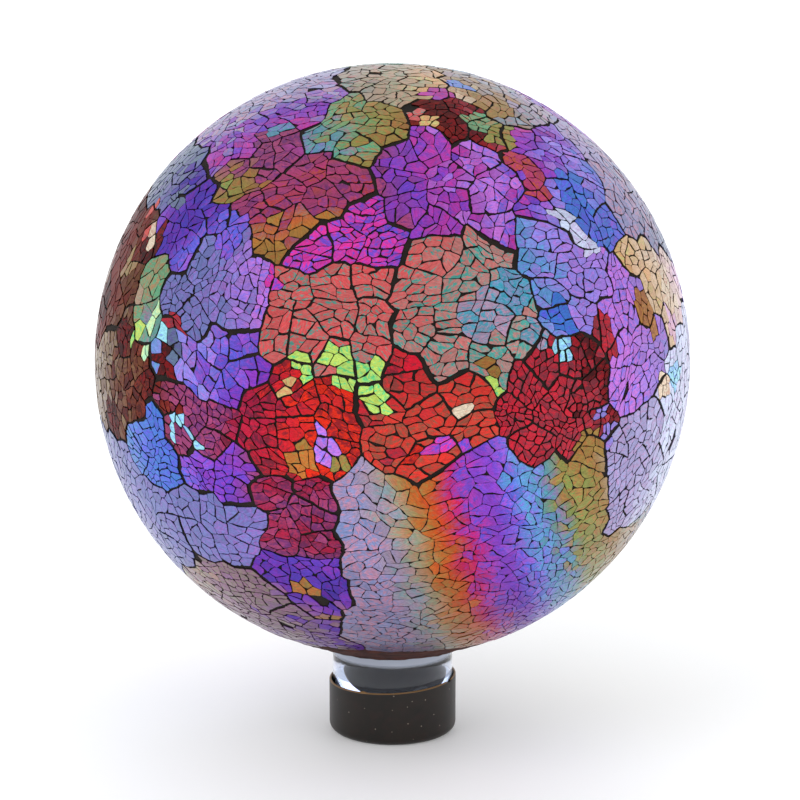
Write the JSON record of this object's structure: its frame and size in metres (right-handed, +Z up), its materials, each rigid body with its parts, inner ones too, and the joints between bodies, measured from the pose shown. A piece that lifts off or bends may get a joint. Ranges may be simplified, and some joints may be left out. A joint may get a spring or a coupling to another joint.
{
  "type": "decorative mosaic sphere",
  "caption": "Hollow glass ball skinned with crackled iridescent glass tiles in dark grout, standing upright on the dark cap that closes its short clear neck.",
  "frame": {"origin": "centre of the cap's underside, on which the globe stands", "axes": "+Z up through the neck to the crown of the ball, -Y towards the picture's camera, +X to the picture's right"},
  "size_m": [0.2538, 0.2536, 0.2907],
  "materials": {
    "clear_glass": "clear colourless blown glass, smooth and glossy",
    "grout": "black-brown cement grout, matte and finely pitted",
    "cap_vinyl": "dark brown-black moulded vinyl, satin, scuffed at the rim",
    "film_cream": "crackled glass tiles with an iridescent film, cream to peach, glossy",
    "film_green": "crackled glass tiles with an iridescent film, sea green to olive, glossy",
    "film_teal": "crackled glass tiles with an iridescent film, teal to slate blue, glossy",
    "film_olive": "crackled glass tiles with an iridescent film, olive gold to tan, glossy",
    "film_brown": "crackled glass tiles with an iridescent film, bronze brown to dark red, glossy",
    "film_scarlet": "crackled glass tiles with an iridescent film, bright scarlet to orange, glossy",
    "film_ruby": "crackled glass tiles with an iridescent film, deep ruby, glossy",
    "film_coral": "crackled glass tiles with an iridescent film, coral red streaked with teal, glossy",
    "film_orange": "crackled glass tiles with an iridescent film, copper orange to magenta, glossy",
    "film_magenta": "crackled glass tiles with an iridescent film, magenta to violet, glossy",
    "film_orchid": "crackled glass tiles with an iridescent film, orchid pink to lavender, glossy",
    "film_violet": "crackled glass tiles with an iridescent film, violet to indigo, glossy",
    "film_blue": "crackled glass tiles with an iridescent film, blue to cyan, glossy",
    "film_lavender": "crackled glass tiles with an iridescent film, lavender to pale blue, glossy",
    "film_mauve": "crackled glass tiles with an iridescent film, mauve to tan, glossy",
    "film_pale": "crackled glass tiles with an iridescent film, pale ice blue, glossy"
  },
  "bodies": {
    "root": {"glass_ball": "clear_glass", "glass_neck": "clear_glass", "grout_bed": "grout", "neck_cap": "cap_vinyl", "patch_cream_crown": "film_cream", "patch_green_crown": "film_green", "patch_violet_crown": "film_violet", "patch_rose_shoulder": "film_magenta", "patch_teal_shoulder": "film_teal", "patch_ember_oval": "film_orange", "patch_magenta_ridge": "film_magenta", "patch_magenta_field": "film_magenta", "patch_ruby_crown": "film_ruby", "patch_olive_crown": "film_olive", "patch_blue_slope": "film_blue", "patch_grey_rim": "film_pale", "patch_indigo_chip": "film_violet", "patch_lavender_field": "film_lavender", "patch_cyan_field": "film_blue", "patch_brown_rim": "film_brown", "patch_green_left": "film_green", "patch_olive_left": "film_olive", "patch_ruby_left": "film_ruby", "patch_scarlet_band": "film_scarlet", "patch_coral_field": "film_coral", "patch_coral_teal": "film_coral", "patch_blue_field": "film_blue", "patch_scarlet_middle": "film_scarlet", "patch_ruby_right": "film_ruby", "patch_orchid_field": "film_orchid", "patch_cream_rim": "film_cream", "patch_pale_rim": "film_pale", "patch_lavender_right": "film_lavender", "patch_blue_strip": "film_blue", "patch_violet_strip": "film_violet", "patch_crimson_chip": "film_ruby", "patch_lavender_low": "film_lavender", "patch_slate_rim": "film_teal", "patch_violet_chip": "film_violet", "patch_rainbow_left": "film_lavender", "patch_rainbow_middle": "film_violet", "patch_rainbow_right": "film_green", "patch_rainbow_low": "film_blue", "patch_rainbow_rim": "film_lavender", "patch_mauve_low": "film_mauve", "patch_back_crown": "film_teal", "patch_back_orchid": "film_orchid", "patch_back_violet": "film_violet", "patch_back_coral": "film_coral", "patch_back_scarlet": "film_scarlet", "patch_back_lavender": "film_lavender", "patch_back_blue": "film_blue", "patch_back_magenta": "film_magenta", "patch_back_ruby": "film_ruby", "patch_back_olive": "film_olive", "patch_back_green": "film_green", "patch_back_ember": "film_orange", "patch_back_teal": "film_teal", "patch_back_mauve": "film_mauve", "patch_back_indigo": "film_blue"}
  },
  "joints": []
}
